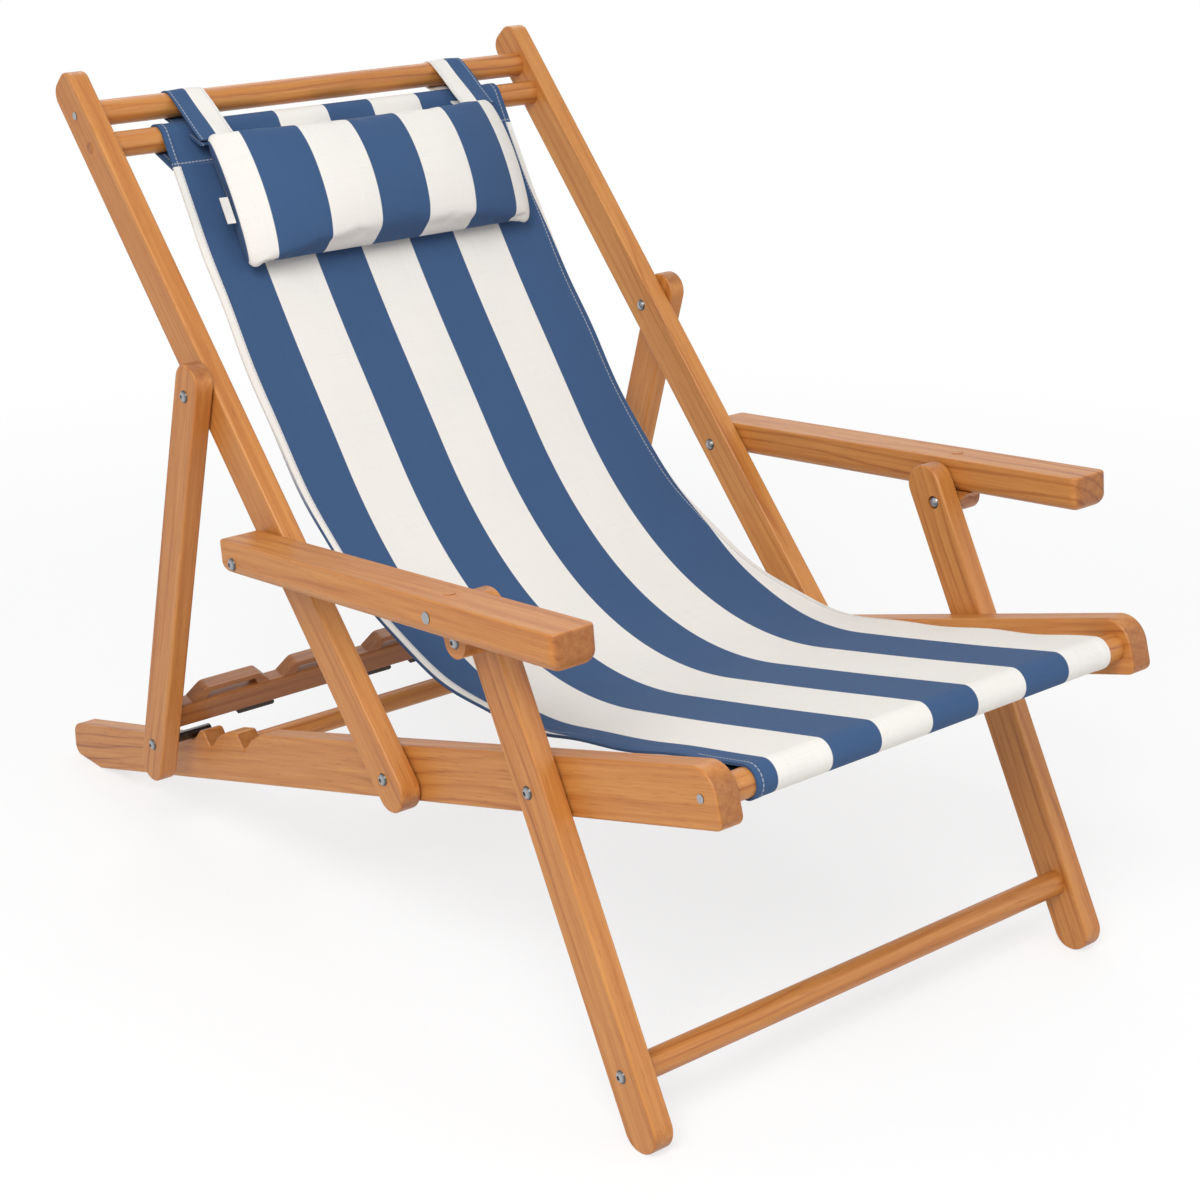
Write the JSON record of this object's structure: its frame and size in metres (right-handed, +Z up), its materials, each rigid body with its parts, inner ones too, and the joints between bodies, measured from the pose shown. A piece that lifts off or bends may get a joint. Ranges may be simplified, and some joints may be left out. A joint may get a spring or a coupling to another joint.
{
  "type": "folding reclining chair",
  "caption": "Wooden folding lounge chair with a hanging striped sling, armrests, hinged front legs, a notched reclining prop and a strapped head pillow.",
  "frame": {"origin": "middle of the footprint, on the floor under the chair", "axes": "+Z up, -Y the way the sitter faces, +X the sitter's left"},
  "size_m": [0.6832, 1.1186, 0.8067],
  "materials": {
    "frame_wood": "oiled honey brown hardwood, satin",
    "dowel_wood": "turned hardwood dowel, satin",
    "plug_wood": "end grain plug",
    "zinc_steel": "bright zinc plated steel",
    "striped_canvas": "blue and off-white striped woven canvas",
    "pillow_cover": "blue and off-white striped woven canvas",
    "strap_webbing": "two-tone woven strap",
    "dark_rubber": "matt dark rubber"
  },
  "bodies": {
    "seat_frame": {"seat_rail_left": "frame_wood", "seat_rail_right": "frame_wood", "front_sling_dowel": "dowel_wood", "rear_stretcher": "dowel_wood", "front_dowel_pins": "zinc_steel", "back_pivot_bolt_left": "zinc_steel", "back_pivot_bolt_right": "zinc_steel", "leg_pivot_bolt_left": "zinc_steel", "leg_pivot_bolt_right": "zinc_steel", "back_pivot_washers": "zinc_steel", "leg_pivot_washers": "zinc_steel", "sling_seat": "striped_canvas", "sling_bend": "striped_canvas"},
    "back_frame": {"back_rail_left": "frame_wood", "back_rail_right": "frame_wood", "top_dowel": "dowel_wood", "sling_dowel": "dowel_wood", "top_dowel_screws": "zinc_steel", "sling_dowel_plugs": "plug_wood", "arm_pivot_bolt_left": "zinc_steel", "arm_pivot_bolt_right": "zinc_steel", "prop_pivot_bolt_left": "zinc_steel", "prop_pivot_bolt_right": "zinc_steel", "arm_pivot_washers": "zinc_steel", "prop_pivot_washers": "zinc_steel", "sling_back": "striped_canvas"},
    "front_legs": {"front_leg_left": "frame_wood", "front_leg_right": "frame_wood", "leg_stretcher": "dowel_wood", "leg_stretcher_bolts": "zinc_steel", "leg_top_bolts": "zinc_steel"},
    "armrests": {"armrest_left": "frame_wood", "armrest_right": "frame_wood", "arm_plugs": "plug_wood", "arm_screws": "zinc_steel", "arm_lug_left": "frame_wood", "arm_lug_right": "frame_wood", "lug_bolt_left": "zinc_steel", "lug_bolt_right": "zinc_steel"},
    "prop_frame": {"prop_strut_left": "frame_wood", "prop_strut_right": "frame_wood", "notch_peg_left": "zinc_steel", "notch_peg_right": "zinc_steel", "prop_cross_rail": "frame_wood", "hand_loop_1": "frame_wood", "hand_loop_2": "frame_wood", "hand_loop_3": "frame_wood", "hand_loop_4": "frame_wood", "hand_loop_5": "frame_wood", "rest_pads": "dark_rubber"},
    "head_pillow": {"pillow": "pillow_cover", "pillow_strap_left": "strap_webbing", "pillow_strap_right": "strap_webbing"}
  },
  "joints": [
    {"name": "recline", "type": "hinge", "parent": "seat_frame", "child": "back_frame", "pos_m": [0, -0.1193, 0.2164], "axis": [1, 0, 0], "range_deg": [-54, 0], "deforming": ["sling_bend"]},
    {"name": "leg_fold", "type": "hinge", "parent": "seat_frame", "child": "front_legs", "pos_m": [0, -0.33985, 0.28341], "axis": [1, 0, 0], "range_deg": [-71.55, 0]},
    {"name": "arm_fold", "type": "hinge", "parent": "back_frame", "child": "armrests", "pos_m": [0, 0.052, 0.39261], "axis": [1, 0, 0], "range_deg": [0, 42.12]},
    {"name": "prop_fold", "type": "hinge", "parent": "back_frame", "child": "prop_frame", "pos_m": [0, 0.16987, 0.52649], "axis": [1, 0, 0], "range_deg": [0, 108]},
    {"name": "pillow_swing", "type": "hinge", "parent": "back_frame", "child": "head_pillow", "pos_m": [0, 0.39288, 0.76565], "axis": [1, 0, 0], "range_deg": [-110, 0]}
  ],
  "couplings": [
    {"joint": "leg_fold", "follows": "recline", "ratio": 1.325},
    {"joint": "arm_fold", "follows": "recline", "ratio": -0.78},
    {"joint": "prop_fold", "follows": "recline", "ratio": -2}
  ]
}
